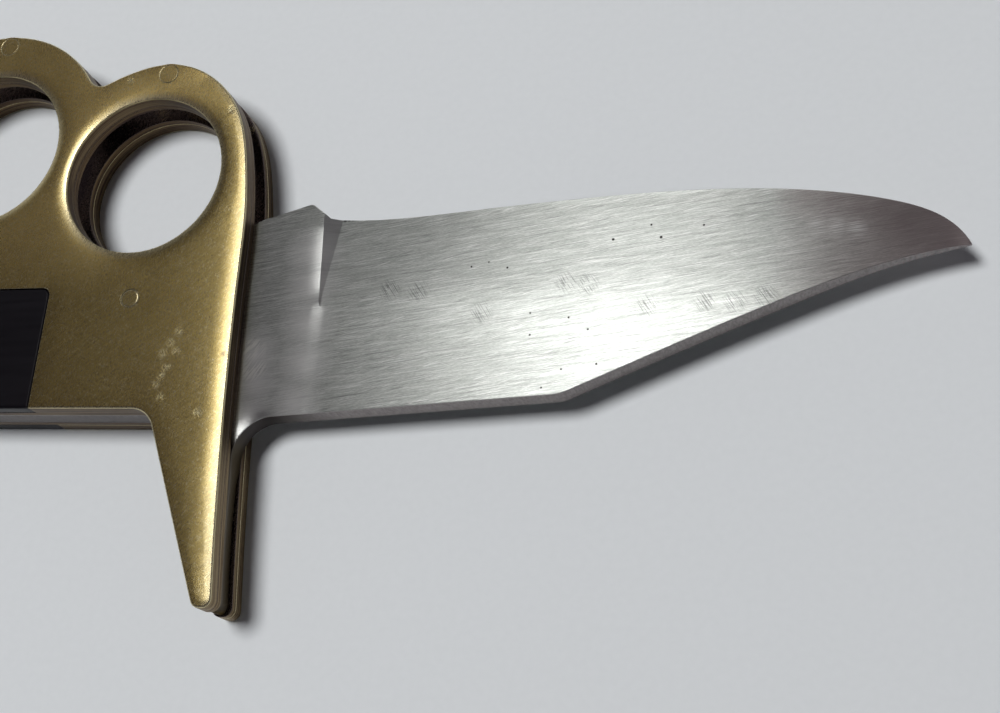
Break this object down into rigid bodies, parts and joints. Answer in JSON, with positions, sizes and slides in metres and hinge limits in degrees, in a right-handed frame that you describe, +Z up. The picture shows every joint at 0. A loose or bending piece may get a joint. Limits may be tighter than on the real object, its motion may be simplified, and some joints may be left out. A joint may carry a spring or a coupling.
{
  "type": "folding knife",
  "caption": "Folding clip-point knife with brass finger-ring handle plates, a guard horn, inlaid black grip scales and a steel backspring.",
  "frame": {"origin": "on the blade's pivot axis, at the outer face of the rear plate that the knife lies on", "axes": "+X along the open blade towards its tip, +Y towards the finger rings and the sharp edge, +Z up through the handle from the rear plate to the front plate, along the pivot"},
  "size_m": [0.2404, 0.0909, 0.0108],
  "materials": {
    "brass_plate": "satin, hand finished",
    "brass_liner": "satin",
    "brass_pin": "satin, peened flush",
    "blade_steel": "brushed along the blade",
    "spring_steel": "satin",
    "black_scale": "satin"
  },
  "bodies": {
    "handle": {"front_knuckle_plate": "brass_plate", "rear_knuckle_plate": "brass_plate", "front_liner": "brass_liner", "rear_liner": "brass_liner", "front_scale": "black_scale", "rear_scale": "black_scale", "backspring": "spring_steel", "pivot_pin": "brass_pin", "spring_pin_middle": "brass_pin", "spring_pin_butt": "brass_pin", "front_ring_rivet_1": "brass_pin", "front_ring_rivet_2": "brass_pin", "front_ring_rivet_3": "brass_pin", "front_ring_rivet_4": "brass_pin", "rear_ring_rivet_1": "brass_pin", "rear_ring_rivet_2": "brass_pin", "rear_ring_rivet_3": "brass_pin", "rear_ring_rivet_4": "brass_pin", "front_scale_pin_1": "brass_pin", "front_scale_pin_2": "brass_pin", "front_scale_pin_3": "brass_pin", "rear_scale_pin_1": "brass_pin", "rear_scale_pin_2": "brass_pin", "rear_scale_pin_3": "brass_pin"},
    "blade": {"blade": "blade_steel"}
  },
  "joints": [
    {"name": "blade_pivot", "type": "hinge", "parent": "handle", "child": "blade", "pos_m": [0, 0, 0.0054], "axis": [0, 0, 1], "range_deg": [0, 176]}
  ]
}
